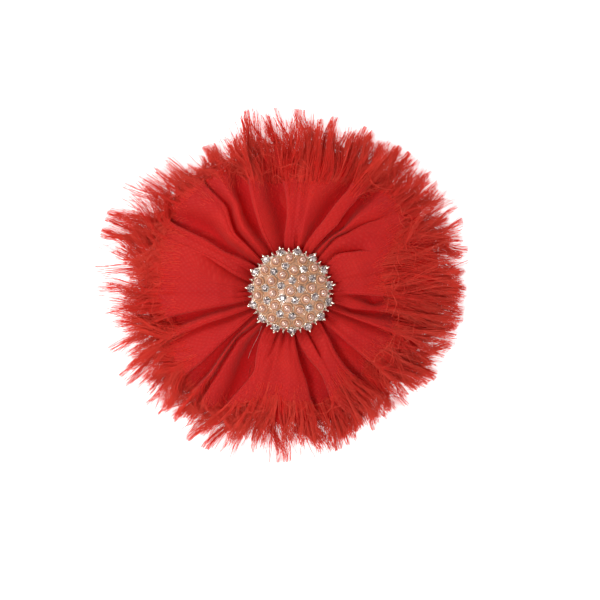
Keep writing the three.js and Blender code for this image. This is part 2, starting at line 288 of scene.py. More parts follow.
def chiffon_material():
    """Crepe chiffon: a fine crossed weave, a slight wrinkle, and slow changes of colour.

    Down in the folds the colour is painted deeper and redder, as painted shade.
    """
    look = Look("crepe_chiffon", {"Specular IOR Level": 0.5, **CHIFFON_SHEEN})
    flat = look.coordinates["UV"]
    mirrored = look.node("ShaderNodeMapping", {"Vector": flat, "Scale": (-1.0, 1.0, 1.0)})
    warp, weft = (
        look.node("ShaderNodeTexWave", {"Vector": vector, **CREPE}, bands_direction="DIAGONAL").outputs["Fac"]
        for vector in (flat, mirrored.outputs["Vector"])
    )
    weave = look.maths("MULTIPLY", warp, weft)
    normal = look.emboss(look.maths("ADD", weave, look.noise(flat, WRINKLES, 3.0)), 0.35, 0.12)
    shade = look.maths("ADD", look.maths("MULTIPLY", weave, 0.28), look.noise(flat, CLOUDS, 3.0))
    colour = look.ramp(shade, [(0.3, CHIFFON_DARK), (0.85, CHIFFON_LIGHT)])
    # painted shade: a deeper, redder colour mixed in down in the folds
    painted_fold_shade = {"Fac": look.tone_and_painted_shade(), "Color1": colour, "Color2": (*CHIFFON_PAINTED_SHADE, 1)}
    look.join(look.node("ShaderNodeMixRGB", painted_fold_shade).outputs["Color"], "Base Color")
    look.roughen(weave, 0.85, 0.68)
    look.let_through(CHIFFON_THROUGH, CLOTH_THROUGH, normal)
    return look.material


def fringe_material():
    """Single frayed threads, each with its own shade."""
    look = Look("frayed_thread", {"Specular IOR Level": 0.3, **FRINGE_SHEEN})
    twist = look.noise(look.coordinates["Object"], 1500.0, 2.0)
    shade = look.maths("ADD", look.maths("MULTIPLY", twist, 0.35), look.tone_and_painted_shade())
    look.join(look.ramp(shade, [(0.15, FRINGE_DARK), (1.0, FRINGE_LIGHT)]), "Base Color")
    look.emboss(twist, 0.2, 0.03)
    look.roughen(twist, 0.6, 0.8)
    look.let_through(FRINGE_THROUGH, FRINGE_SHARE)
    return look.material


def crystal_material():
    """Foiled crystal. Small bright and dark cells are painted sparkle: painted reflections of the facets at
    its back that show through the front.
    """
    look = Look("foiled_crystal_painted_sparkle", {**GLAZE, "Metallic": 0.55, "Coat Weight": 0.8, "Coat IOR": 1.7})
    sparkle_cells = look.node("ShaderNodeTexVoronoi", {"Vector": look.coordinates["Object"], "Scale": 2300.0})
    random = look.node("ShaderNodeSeparateColor", {"Color": sparkle_cells.outputs["Color"]})
    # painted sparkle: near-black to pale cells stand for dark and lit facets
    stops = [(0.0, (0.05, 0.03, 0.03)), (0.5, (0.24, 0.165, 0.155)), (1.0, (0.80, 0.69, 0.66))]
    look.join(look.ramp(random.outputs["Red"], stops), "Base Color")
    look.roughen(random.outputs["Green"], 0.12, 0.34)
    look.emboss(sparkle_cells.outputs["Distance"], 0.5, 0.2)
    return look.material


chiffon = chiffon_material()
fray = fringe_material()
crystal = crystal_material()

enamel = grained("peach_enamel", (0.46, 0.215, 0.108), (0.55, 0.27, 0.148), 260, (0.22, 0.38), 0.25, ENAMEL)
cast_gold = grained("cast_pale_gold", (0.72, 0.61, 0.50), (0.88, 0.79, 0.68), 900, (0.16, 0.34), 0.3, METAL)
nacre = grained("nacre", (0.46, 0.225, 0.155), (0.58, 0.315, 0.225), 420, (0.12, 0.18), 0.04, LUSTRE, 2)
felt = grained("red_felt", (0.40, 0.012, 0.014), (0.62, 0.03, 0.028), 900, (0.85, 0.95), 0.9, FELT_SHEEN)
thread = grained("twisted_thread", (0.3, 0.012, 0.012), (0.55, 0.04, 0.03), 2200, (0.5, 0.7), 0.4)
glue = grained("hot_melt_glue", (0.80, 0.76, 0.68), (0.90, 0.88, 0.82), 300, (0.22, 0.40), 0.3, CLEAR)
steel = grained("nickel_steel", (0.60, 0.60, 0.61), (0.78, 0.78, 0.79), 700, (0.18, 0.36), 0.25, METAL)
spring_steel = grained("spring_wire", (0.42, 0.42, 0.44), (0.62, 0.62, 0.64), 1400, (0.22, 0.42), 0.3, METAL)


# ---- the gathered strips

CW, BOTH, CCW = -1, 0, 1  # which side of a fold lies on top, with the crisp edge

# Each fold of the upper strip as it runs outwards from the button: (radius, degrees, opening, depth).
UPPER_FOLDS = [
    (CCW, [(12, 356.5, 0.4, 0.6), (18, 357, 0.8, 1.6), (22, 357, 2, 2.6), (26, 357, 0.6, 1.4),
           (29, 357, 0.2, 0)]),
    (CCW, [(11, 9.5, 0.3, 1.8), (15, 9.5, 0.2, 0)]),
    (CW, [(12, 38, 0.3, 0.6), (16, 38.8, 0.5, 1.4), (21, 31, 0.3, 1), (26, 27, 0.2, 0)]),
    (CW, [(12, 49, 0.4, 1.6), (19, 49.5, 0.4, 1.7), (22, 45.6, 0.3, 1.3), (32, 39, 0.2, 0.5),
           (38, 38, 0.2, 0)]),
    (CCW, [(12, 61.5, 0.5, 2.3), (22, 54.5, 1.5, 3), (26, 55, 1.5, 3), (33, 53.6, 1.2, 2.4),
           (39, 53.4, 1, 1.2)]),
    (CW, [(12, 73, 0.5, 2.3), (21, 65, 1.3, 2.8), (27, 62.5, 1.5, 2.8), (33, 60, 1.4, 2.2), (38, 61, 1, 1)]),
    (CCW, [(11, 85, 0.3, 1.8), (15, 84, 0.2, 0.5), (19, 84, 0.2, 0)]),
    (CW, [(12, 98, 0.5, 2.4), (21, 92.2, 2.4, 3.2), (26, 92.6, 3.6, 3.3), (31, 94, 3.4, 2.6),
           (37, 95, 2.5, 1.4)]),
    (CW, [(12, 114.5, 0.5, 2.4), (17, 116.5, 1.2, 2.9), (24, 114, 2.6, 3.2), (30, 111.5, 3, 2.7),
           (37, 109.5, 2, 1.3)]),
    (CCW, [(12, 133, 0.4, 1.9), (22, 134, 0.8, 1.9), (29, 127, 1, 1.6), (39, 129, 0.8, 0.7)]),
    (CCW, [(12, 144.5, 0.6, 2.3), (21, 149.3, 1.8, 3), (27, 149, 3.2, 3.2), (33, 150, 3, 2.5),
           (39, 150, 2, 1.2)]),
    (CW, [(11, 156, 0.3, 1.8), (15, 154, 0.2, 0.4), (19, 153, 0.2, 0)]),
    (CW, [(12, 167, 0.4, 1.9), (19, 161, 0.4, 1.2), (24, 158, 0.3, 0.5), (29, 158, 0.2, 0)]),
    (CCW, [(11, 180, 0.3, 1.9), (15, 180, 0.2, 0)]),
    (CW, [(12, 192.5, 0.5, 2.2), (23, 192, 1, 2.3), (32, 192, 2.2, 2.7), (41, 193, 3, 1.8)]),
    (CW, [(12, 203.4, 0.4, 2), (24, 201, 0.5, 1.5), (34, 201.5, 0.8, 1.4), (40, 202, 0.8, 0.7)]),
    (CW, [(12, 212.7, 0.4, 2.2), (18, 216, 0.9, 2.4), (23, 217, 1.8, 2.8), (31, 218.7, 4, 3.1),
           (38, 218.6, 4.4, 2)]),
    (CCW, [(12, 226.5, 0.4, 2.2), (19, 223.5, 0.8, 2.5), (23, 226, 0.7, 2.5), (30, 229, 0.7, 2.3),
           (40, 231, 0.8, 1.2)]),
    (CCW, [(12, 235, 0.5, 2.3), (16, 238, 2, 2.9), (24, 246, 3.3, 3.3), (33, 241.5, 1.2, 2.4),
           (40, 239.5, 0.6, 1)]),
    (CW, [(11, 252, 0.3, 2), (15, 252.4, 0.3, 0.8), (20, 252, 0.2, 0)]),
    (CCW, [(11, 263, 0.3, 1.8), (15, 262, 0.2, 0.3), (19, 262, 0.2, 0)]),
    (BOTH, [(12, 276, 0.5, 2.3), (19, 281, 2.3, 3.1), (25, 286, 4.6, 3.4), (30, 286, 5.5, 2.7),
           (35, 286, 4.5, 1.4)]),
    (CW, [(11, 291, 0.3, 2.1), (16, 293, 0.3, 1.2), (21, 296, 0.2, 0)]),
    (BOTH, [(12, 315.5, 0.6, 2.4), (19, 312.5, 3.8, 3.2), (25, 312.5, 5.2, 3.4), (30, 313, 5.8, 2.8),
           (35, 314, 4, 1.4)]),
    (CCW, [(11, 327, 0.3, 1.8), (15, 327, 0.2, 0.4), (19, 327, 0.2, 0)]),
    (CCW, [(12, 336, 0.4, 2), (24, 337.6, 0.5, 1.5), (31, 338, 0.5, 0.9), (35, 338, 0.4, 0)]),
    (CCW, [(12, 345.6, 0.5, 2.2), (17, 343.6, 0.7, 2.7), (23, 346.8, 0.8, 2.7), (29, 348.6, 0.7, 2.3),
           (34, 346, 0.6, 0.9)]),
]

# Where the cloth of each strip ends and the fringe starts: (degrees, radius).
UPPER_EDGE = [
    (0.5, 25), (16, 27), (21, 29.5), (33, 38), (46, 39), (60, 35), (76, 31.5), (92, 31), (106, 31.6),
    (113, 36), (127, 39), (140, 40), (155, 38.5), (170, 37), (184, 37), (199, 34.5), (206, 38), (213, 37),
    (222, 38), (234, 39.5), (244, 35), (256, 30.5), (263, 30), (273, 31), (290, 32.5), (301, 29), (323, 30),
    (332, 31), (342, 31),
]
LOWER_EDGE = [
    (0, 42), (40, 43), (75, 41), (110, 39), (150, 39), (190, 41), (215, 41), (255, 37), (300, 38), (340, 39),
]
# The farthest tips of the fringe, and how far out it is still dense: (degrees, radius).
TIPS = [
    (0, 49), (30, 52), (60, 50), (90, 50), (104, 51), (119, 46), (150, 54), (180, 53), (210, 52), (240, 49),
    (265, 47), (300, 45), (330, 47),
]
DENSE = [
    (0, 46), (45, 48), (75, 46), (110, 43), (150, 43), (180, 45), (210, 46), (255, 41), (300, 42), (340, 44),
]
CORNER_ROUNDING = 11  # degrees over which the corners of those outlines are rounded

# A fold's two half sections, from its floor out to the panel: (share of half the opening, share of the
# undercut, share of the roll or ramp, height), with heights from -1 on the floor to 0 on the panel.
OVERHANG = np.array([
    (0.55, 0.15, 0.0, -1.03), (1.0, 0.75, 0.0, -1.03), (1.0, 1.05, 0.0, -0.75), (1.0, 0.80, 0.0, -0.48),
    (1.0, 0.25, 0.0, -0.30), (1.0, -0.05, 0.0, -0.14), (1.0, 0.0, 0.35, -0.01), (1.0, 0.0, 1.0, 0.03),
])
RAMP = np.array([
    (0.55, 0.0, 0.0, -0.91), (1.0, 0.0, 0.05, -0.79), (1.0, 0.0, 0.19, -0.62), (1.0, 0.0, 0.34, -0.44),
    (1.0, 0.0, 0.50, -0.28), (1.0, 0.0, 0.66, -0.15), (1.0, 0.0, 0.83, -0.05), (1.0, 0.0, 1.0, 0.0),
])
HALF = len(OVERHANG)
UNDERCUT = 1.5
ROLL = 0.9
RAMP_WIDTH = 5.5
FULL_DEPTH = 1.6  # from this depth on, a fold has its full section
OPENING_SHARE = 0.62  # most of a half section's reach that the opening may take
GAP_SHARE = 0.9  # most of the room between two folds that their sections may take
LEAST_GAP = 0.9  # between the middles of two folds
PATH_ROUNDING = 1.2  # radial distance over which the corners of a fold's path are rounded
INNER_RADIUS = 5.0
PANEL_RADIUS = 30  # where the width of a panel's columns is measured
ARCHED_WIDTH = 9  # a panel of this width or more has its full arch
GATHER_RADIUS, GATHER_FADE = 12, 4.5  # the fine ribs of the gathers fade out from there
# Painted shade in the folds: its greatest strength, and the depths over which it grows.
DEEPEST_PAINTED_SHADE = 0.7
PAINTED_SHADE_DEPTHS = (0.8, 4.5)  # depths where the painted shade starts and where it is full


def around(stations, degrees):
    """Smoothly interpolates (degrees, value) stations round the circle."""
    angle, value = np.asarray(stations, float).T
    angle = np.concatenate([angle - TURN, angle, angle + TURN])
    fine = np.arange(0, TURN, 1.0)
    raw = np.interp(fine, angle, np.tile(value, 3))
    kernel = np.hanning(CORNER_ROUNDING)
    kernel /= kernel.sum()
    soft = np.convolve(np.tile(raw, 3), kernel, mode="same")[len(fine) : 2 * len(fine)]
    return np.interp(np.mod(degrees, TURN), np.append(fine, TURN), np.append(soft, soft[0]))


def flank(overhangs, depth):
    """How strongly a half section shows, and the widths of its undercut and of its roll or ramp."""
    strength = min(1.0, depth / FULL_DEPTH)
    if overhangs:
        return strength, UNDERCUT * strength, ROLL
    return strength, 0.0, RAMP_WIDTH * (0.35 + 0.65 * strength)


def wanted_reach(overhangs, opening, depth):
    """How far a half section goes from the fold's middle if nothing is in its way."""
    _, tuck, width = flank(overhangs, depth)
    return opening / 2 + max(tuck * 1.05, width)


def half_section(overhangs, opening, depth, reach):
    """Distances from a fold's middle and heights of one half section, fitted into the reach it has."""
    strength, tuck, width = flank(overhangs, depth)
    half = min(opening / 2, OPENING_SHARE * reach)
    rest = reach - half
    section = OVERHANG if overhangs else RAMP
    out = section[:, :3] @ [half, min(tuck, 0.9 * rest), min(width, rest)]
    spread = np.linspace(0.12, 1.0, HALF) * out.max()
    return out * strength + spread * (1 - strength), section[:, 3]


def half_sections(side, opening, depth, room):
    """The left and the right half section of every fold. Neighbours share the room between their middles."""
    count = len(side)
    left = np.array([wanted_reach(side[f] <= 0, opening[f], depth[f]) for f in range(count)])
    right = np.array([wanted_reach(side[f] >= 0, opening[f], depth[f]) for f in range(count)])
    fit = np.minimum(1.0, GAP_SHARE * room / (right + np.roll(left, -1)))
    return [
        (
            half_section(side[f] <= 0, opening[f], depth[f], left[f] * fit[f - 1]),
            half_section(side[f] >= 0, opening[f], depth[f], right[f] * fit[f]),
        )
        for f in range(count)
    ]


def fold_values(folds, radius):
    """Angle, opening and depth of every fold at its own radius, with the corners of its path rounded."""
    found = np.zeros((3, len(folds)))
    for shift, weight in ((-PATH_ROUNDING, 0.25), (0.0, 0.5), (PATH_ROUNDING, 0.25)):
        for f, (_, stations) in enumerate(folds):
            at = np.asarray(stations, float).T
            found[:, f] += weight * np.array([np.interp(radius[f] + shift, at[0], at[k]) for k in (1, 2, 3)])
    return found


def kept_apart(middle, radius):
    """Angles of the folds' middles, with neighbours never closer than LEAST_GAP."""
    least = LEAST_GAP / radius
    for _ in range(30):
        gap = np.mod(np.roll(middle, -1) - middle + math.pi, 2 * math.pi) - math.pi
        short = np.maximum(least - gap, 0) / 2
        middle = middle - short + np.roll(short, 1)
    return middle


class Cloth(NamedTuple):
    """One gathered strip."""

    folds: list
    edge: list
    top: Callable  # gives the height of the panels at a radius
    rows: int
    panel_step: float  # width of a panel's columns
    crown: float  # how far the panels arch up between the folds
    gathers: float  # height of the fine ribs at the button
    deepen: float  # how much deeper the folds are away from the button


class Panels(NamedTuple):
    """The stretches of cloth between neighbouring folds, each array with one value for each."""

    columns: np.ndarray
    lift: np.ndarray
    tilt: np.ndarray
    bulge: np.ndarray


def random_panels(cloth, rng):
    count = len(cloth.folds)
    at_rim = np.array([stations[-1][1] for _, stations in cloth.folds], float)
    gaps = np.mod(np.roll(at_rim, -1) - at_rim, TURN)
    columns = np.maximum(4, np.round(np.radians(gaps) * PANEL_RADIUS / cloth.panel_step).astype(int))
    lift = rng.uniform(-0.25, 0.25, count)
    tilt = rng.uniform(-0.35, 0.35, count)
    return Panels(columns, lift, tilt, rng.uniform(0.7, 1.25, count) * cloth.crown)


def random_waves(rng, waves, least, most, slant):
    """Waves round the strip: (number of crests, phase, slant, size) of each."""
    return [
        (crests, rng.uniform(0, 2 * math.pi), rng.uniform(-slant, slant), rng.uniform(0.5, 1.0))
        for crests in rng.integers(least, most, waves)
    ]


def wave_sum(waves, turn, reach):
    return sum(size * np.cos(crests * turn + phase + slant * reach) for crests, phase, slant, size in waves)


def row_profile(t, panels, halves, middle, radius, depth, room):
    """Angles and heights of one row of the strip, and how far each point is from a fold, up to 1."""
    columns, heights, away = [], [], []
    fade = min(1.0, t * 1.5)
    for f, ((left, left_z), (right, right_z)) in enumerate(halves):
        columns += [middle[f] - left[::-1] / radius[f], [middle[f]], middle[f] + right / radius[f]]
        before = (panels.lift[f - 1] + panels.tilt[f - 1]) * fade
        after = (panels.lift[f] - panels.tilt[f]) * fade
        heights += [before + (before + depth[f]) * left_z[::-1], [-depth[f]]]
        heights.append(after + (after + depth[f]) * right_z)
        away.append(np.zeros(2 * HALF + 1))
        following = (f + 1) % len(halves)
        start = middle[f] + right[-1] / radius[f]
        end = middle[f] + room[f] - halves[following][0][0][-1] / radius[following]
        share = (np.arange(panels.columns[f]) + 1) / (panels.columns[f] + 1)
        columns.append(start + (end - start) * share)
        level = panels.lift[f] + panels.tilt[f] * (2 * share - 1)
        width = (end - start) * radius[f]
        arch = panels.bulge[f] * min(1.0, width / ARCHED_WIDTH) * (1 - (2 * share - 1) ** 2)
        heights.append(level * fade + arch * smooth_step(radius[f], 8, 20))
        away.append(smooth_step(np.minimum(share, 1 - share), 0, 0.25))
    return np.concatenate(columns), np.concatenate(heights), np.concatenate(away)


def strip_grid(cloth, rng):
    """Grid of points, shaped (row, column, 3), of a gathered strip round the button.

    Also each point's painted shade, which is stronger down in the folds.
    """
    side = np.array([lying for lying, _ in cloth.folds])
    panels = random_panels(cloth, rng)
    fine_waves = random_waves(rng, 7, 34, 74, 0.25)
    slow_waves = random_waves(rng, 6, 7, 24, 0.12)
    angle = np.array([stations[0][1] for _, stations in cloth.folds], float)
    grid, tone_and_painted_shade = [], []
    for t in np.linspace(0, 1, cloth.rows):
        radius = INNER_RADIUS + t * (around(cloth.edge, angle) - INNER_RADIUS)
        angle, opening, depth = fold_values(cloth.folds, radius)
        depth = depth * (1 + (cloth.deepen - 1) * smooth_step(radius, 13, 21)) * smooth_step(radius, 3, 9)
        opening = opening * (1 + 0.15 * smooth_step(radius, 13, 22))
        middle = kept_apart(np.radians(angle) - side * opening / 2 / radius, radius)
        room = np.mod(np.roll(middle, -1) - middle, 2 * math.pi)
        halves = half_sections(side, opening, depth, room * (radius + np.roll(radius, -1)) / 2)
        turn, heights, away = row_profile(t, panels, halves, middle, radius, depth, room)
        # painted shade: the lower the cloth lies in a fold, the deeper its colour is painted
        tone_and_painted_shade.append(DEEPEST_PAINTED_SHADE * smooth_step(-heights, *PAINTED_SHADE_DEPTHS))
        reach = INNER_RADIUS + t * (around(cloth.edge, np.degrees(turn)) - INNER_RADIUS)
        fine = wave_sum(fine_waves, turn, reach) / 2.6
        broad = wave_sum(slow_waves, turn, reach) / 2.4
        ribs = cloth.gathers * np.exp(-np.maximum(reach - GATHER_RADIUS, 0) / GATHER_FADE) + 0.05
        heights += ribs * fine * (0.35 + 0.65 * away) + 0.28 * broad * smooth_step(reach, 12, 24)
        heights += cloth.top(reach)
        grid.append(np.stack([reach * np.cos(turn), reach * np.sin(turn), heights], axis=-1))
    return np.array(grid), np.array(tone_and_painted_shade)


def fray_edge(grid, rng, depth=1.1, rows=5):
    """Makes the outermost rows uneven, as a raw edge is."""
    ragged = rng.uniform(-1, 0.6, grid.shape[1]) * depth
    for k in range(rows):
        share = (k + 1) / rows
        row = grid[len(grid) - rows + k]
        inward = unit(grid[len(grid) - rows + k - 1] - row)
        row -= inward * (ragged * share**1.5)[:, None]


def strip_piece(name, grid, tone_and_painted_shade, node):
    """The mesh of one gathered strip. Its flat coordinates are millimetres along and across the strip."""
    rows, columns = grid.shape[:2]
    points = np.concatenate([grid, grid[:, :1]], axis=1)
    wide_row = np.linalg.norm(np.diff(points[int(rows * 0.8)], axis=0), axis=1)
    along = np.concatenate([[0], np.cumsum(wide_row)])
    across = np.linalg.norm(np.diff(points, axis=0), axis=2).mean(axis=1)
    across = np.concatenate([[0], np.cumsum(across)])
    flat = np.empty((rows - 1, columns, 4, 2))
    flat[..., 0] = np.stack([along[:-1], along[1:], along[1:], along[:-1]], axis=-1)
    flat[..., 1] = np.stack([across[:-1], across[:-1], across[1:], across[1:]], axis=-1)[:, None]
    piece = add_mesh(name, grid, [ring_faces(rows, columns)], chiffon, uv=flat, tone_and_painted_shade=tone_and_painted_shade)
    return place(piece, ROOT, "chiffon", node)


def upper_top(r):
    """Height of the upper strip's panels, falling from the button to the fringe."""
    heights = [15.6, 16.2, 17.4, 18.6, 18.9, 17.6, 15.2, 12.2, 7.6]
    return np.interp(r, [0, 11, 13, 16, 20, 26, 32, 38, 46], heights)


def lower_top(r):
    return np.interp(r, [0, 12, 18, 26, 32, 38, 44, 50], [12.2, 12.3, 12.2, 10.6, 8.6, 6.2, 4.0, 2.0])


def random_folds(rng, count):
    """Folds of the strip underneath, spread evenly with some scatter."""
    folds = []
    step = TURN / count
    for k in range(count):
        start = (k + rng.uniform(-0.28, 0.28)) * step
        bend = rng.uniform(-0.3, 0.3, 2) * step
        depth = rng.uniform(1.3, 2.5)
        opening = rng.uniform(0.5, 3.2)
        side = int(rng.integers(-1, 2))
        stations = [
            (12, start, 0.4, 1.4),
            (22, start + bend[0], opening * 0.5, depth),
            (31, start + bend[1], opening, depth * 0.9),
            (41, start + bend[1], opening * 0.8, depth * 0.5),
        ]
        folds.append((side, stations))
    return folds


strip_rng = np.random.default_rng(SEED)
upper_cloth = Cloth(UPPER_FOLDS, UPPER_EDGE, upper_top, 92, 0.8, crown=0.9, gathers=0.5, deepen=2.1)
upper_grid, upper_painted_shade = strip_grid(upper_cloth, strip_rng)
lower_folds = random_folds(strip_rng, 25)
lower_cloth = Cloth(lower_folds, LOWER_EDGE, lower_top, 70, 1.0, crown=0.7, gathers=0.3, deepen=1.2)
lower_grid, lower_painted_shade = strip_grid(lower_cloth, strip_rng)
fray_edge(upper_grid, strip_rng)
fray_edge(lower_grid, strip_rng)
upper_strip = strip_piece("upper_chiffon_strip", upper_grid, upper_painted_shade, "upper_ruffle")
lower_strip = strip_piece("lower_chiffon_strip", lower_grid, lower_painted_shade, "lower_ruffle")


# ---- the frayed edges

STRAND_STEPS = 9
ALONG = np.linspace(0, 1, STRAND_STEPS)[None, :, None]  # shares of a thread's length
STRAND_RADIUS = 0.068
TIP_TINT = 0.45  # how much paler a thread is at its tip than at its root
TUFT_REACH = 7  # degrees over which threads may be drawn to the middle of their tuft
TUFT_TURN = 2.6  # degrees that a tuft turns aside at random
CROSS_THREADS = 130  # on each strip
CROSS_LENGTHS = (2.5, 8.0)
CROSS_BAND = 5.0  # how far out from the edge they lie


class Batch(NamedTuple):
    """Frayed threads of one kind, in tufts along a strip's edge."""

    count: int
    reach: tuple  # of the tips: -1 at the root, 0 where the fringe is still dense, 1 at its outline
    heights: tuple  # of the tips
    clump: int  # threads in a tuft
    sweep: float  # degrees that neighbouring tufts lean aside together
    inset: int  # rows inside the strip's edge where threads may start
    crimp: float  # size of a thread's waves
    pull: tuple  # share of the way that a tuft draws together
    scatter: float  # degrees between the tips of a tuft
    radius: float


BATCHES = {
    "lower": [
        Batch(4000, (0.0, 1.6), (0.8, 4.6), 8, 4, 4, 0.10, (0.1, 0.85), 0.5, 0.080),
        Batch(4100, (-0.3, 0.9), (1.6, 5.6), 12, 5, 10, 0.12, (0.1, 0.8), 0.8, 0.070),
    ],
    "upper": [
        Batch(4000, (-0.25, 1.05), (3.4, 8.6), 9, 5, 5, 0.10, (0.1, 0.85), 0.6, 0.076),
        Batch(4100, (-0.7, 0.4), (4.4, 10.8), 12, 6, 18, 0.12, (0.1, 0.8), 0.8, 0.068),
    ],
}
# Long stray threads of the photo. Each stretch has three points (degrees, radius, height), and the second one
# goes on where the first one ends, bent back.
STRAY_THREADS = [
    ((167, 43, 8.0), (166.2, 49, 6.4), (166, 53, 5.2)),
    ((166, 53, 5.2), (165, 51.5, 5.4), (163.8, 50, 5.6)),
    ((131, 44, 8.0), (131, 48, 6.8), (131.8, 51.5, 5.8)),
    ((175, 35, 14.6), (180, 39.5, 12.6), (183.5, 45, 9.4)),
    ((56, 31, 15.6), (50, 38, 13.0), (45, 46, 9.0)),
]
STRAY_SHADE = 0.5


def edge_starts(grid, count, inset, rng):
    """Random places near the strip's edge, up to inset rows in, with the outward direction there."""
    line = grid[-1]
    closed = np.concatenate([line, line[:1]])
    length = np.linalg.norm(np.diff(closed[:, :2], axis=0), axis=1)
    travelled = np.concatenate([[0], np.cumsum(length)])
    where = np.sort(rng.uniform(0, travelled[-1], count))
    column = np.clip(np.searchsorted(travelled, where) - 1, 0, len(line) - 1)
    share = ((where - travelled[column]) / np.maximum(length[column], 1e-6))[:, None]
    row = len(grid) - 1 - np.round(inset * rng.random(count) ** 1.5).astype(int)
    following = (column + 1) % len(line)
    point = grid[row, column] * (1 - share) + grid[row, following] * share
    return point, unit(grid[row, column] - grid[row - 3, column])


def wander(rng, degrees, waves, low, high):
    """A smooth random value round the circle, from about -1 to 1."""
    total = np.zeros(len(degrees))
    for _ in range(waves):
        total += np.cos(rng.integers(low, high) * np.radians(degrees) + rng.uniform(0, 2 * math.pi))
    return total / waves**0.5


def gathered_tips(batch, degrees, rng):
    """Where each thread's tip points, in degrees, and the number of the tuft that it is in."""
    tuft = np.cumsum(rng.random(batch.count) < 1 / batch.clump)
    tufts = tuft.max() + 1
    size = np.maximum(np.bincount(tuft, minlength=tufts), 1)
    first_of = np.cumsum(size) - size
    middle = degrees[np.clip(first_of + size // 2, 0, batch.count - 1)][tuft]
    toward = np.clip(np.mod(middle - degrees + 180, TURN) - 180, -TUFT_REACH, TUFT_REACH)
    drawn = rng.uniform(*batch.pull, tufts)[tuft]
    tips = degrees + toward * drawn + rng.normal(0, TUFT_TURN, tufts)[tuft]
    tips += batch.sweep * wander(rng, degrees, 4, 2, 7) + rng.normal(0, batch.scatter, batch.count)
    return tips, tuft


def crimped(path, chord, degrees, crimp, rng):
    """The paths with small waves to the side and up, and never below the floor."""
    count = len(path)
    t = ALONG[..., 0]
    phase = rng.uniform(0, 2 * math.pi, (count, 1))
    wave = rng.uniform(4.5, 9.0, (count, 1))
    size = rng.uniform(0.2, 1.0, (count, 1)) * crimp * smooth_step(t, 0.0, 0.4)
    swing = size * np.sin(phase + t * chord / wave * 2 * math.pi)
    path = path + on_circle(degrees + 90, 1, 0)[:, None] * swing[..., None]
    path[..., 2] += 0.5 * size * np.cos(phase * 2 + t * chord / wave * 5.1)
    path[..., 2] = np.maximum(path[..., 2], 0.15)
    return path


def strands(grid, top, rng, batch):
    """Paths of frayed threads, shaped (strand, step, 3), that end near the outline. Also each one's tuft."""
    count = batch.count
    start, outward = edge_starts(grid, count, batch.inset, rng)
    start_radius = np.hypot(start[:, 0], start[:, 1])
    sunk = np.clip(start[:, 2] - top(start_radius), -3, 0.6)
    start = start + rng.uniform(-0.08, 0.14, (count, 1)) * [0, 0, 1]
    degrees = np.degrees(np.arctan2(start[:, 1], start[:, 0]))
    tip_degrees, tuft = gathered_tips(batch, degrees, rng)
    tufts = tuft.max() + 1
    far, dense = around(TIPS, tip_degrees), around(DENSE, tip_degrees)
    reach = rng.uniform(*batch.reach, tufts)[tuft] - np.abs(rng.normal(0, 0.22, count))
    beyond = dense + (far - dense) * np.clip(reach, 0, 1.25)
    short = start_radius + (dense - start_radius) * np.clip(1 + reach, 0.2, 1)
    tip_radius = np.maximum(np.where(reach > 0, beyond, short), start_radius + 2.0)
    low, high = batch.heights
    share = np.clip(0.5 + 0.3 * wander(rng, degrees, 4, 4, 14) + rng.normal(0, 0.2, count), 0, 1)
    tip = on_circle(tip_degrees, tip_radius, np.maximum(low + (high - low) * share + 0.55 * sunk, 0.4))
    chord = np.linalg.norm(tip - start, axis=1, keepdims=True)
    lean = rng.normal(0, 0.04, (count, 3)) * [1, 1, 0.5]
    first = start + (outward + lean) * chord * 0.38
    away = tip * [1, 1, 0] / tip_radius[:, None]
    own_bend = rng.normal(0, 0.06, (count, 3)) * [1, 1, 0.35]
    bend = own_bend + rng.normal(0, 0.12, (tufts, 3))[tuft] + [0, 0, -0.25]
    second = tip - (away + bend) * chord * 0.35
    path = start[:, None] * (1 - ALONG) ** 3 + first[:, None] * 3 * ALONG * (1 - ALONG) ** 2
    path = path + second[:, None] * 3 * ALONG**2 * (1 - ALONG) + tip[:, None] * ALONG**3
    return crimped(path, chord, degrees, batch.crimp, rng), tuft


def fringe_piece(name, paths, tone_and_painted_shade, radius=STRAND_RADIUS):
    steps = paths.shape[1]
    taper = radius * (1 - 0.35 * np.linspace(0, 1, steps) ** 2)[None]
    points, quads = tubes(paths, taper)
    paler = tone_and_painted_shade[:, None] + TIP_TINT * np.linspace(0, 1, steps) ** 1.5
    return place(add_mesh(name, points, [quads], fray, tone_and_painted_shade=np.repeat(paler, 3)), ROOT, "chiffon")


def cross_threads(grid, rng):
    """Threads that came out of the weave and lie over the fringe, along the edge."""
    count = CROSS_THREADS
    start, outward = edge_starts(grid, count, 2, rng)
    degrees = np.degrees(np.arctan2(start[:, 1], start[:, 0]))
    side = on_circle(degrees + 90, 1, 0) * rng.choice([-1, 1], (count, 1))
    out = start + outward * rng.uniform(0.2, CROSS_BAND, (count, 1)) + [0, 0, 0.5]
    span = rng.uniform(*CROSS_LENGTHS, (count, 1))
    bow = rng.uniform(-0.25, 0.45, (count, 1))
    path = out[:, None] + side[:, None] * span[:, None] * ALONG
    path = path + outward[:, None] * (span * bow)[:, None] * np.sin(math.pi * ALONG)
    swing = rng.normal(0, 0.25, (count, 1, 3))
    return path + swing * np.sin(2 * math.pi * ALONG + rng.uniform(0, 6, (count, 1, 1)))


def stray_threads():
    """Curved paths through the middle point of each stretch, shaped (stretch, step, 3)."""
    degrees, radius, height = np.moveaxis(np.array(STRAY_THREADS, float), -1, 0)
    points = on_circle(degrees, radius, height)
    control = 2 * points[:, 1] - (points[:, 0] + points[:, 2]) / 2
    bent = points[:, :1] * (1 - ALONG) ** 2 + control[:, None] * 2 * ALONG * (1 - ALONG)
    return bent + points[:, 2:] * ALONG**2


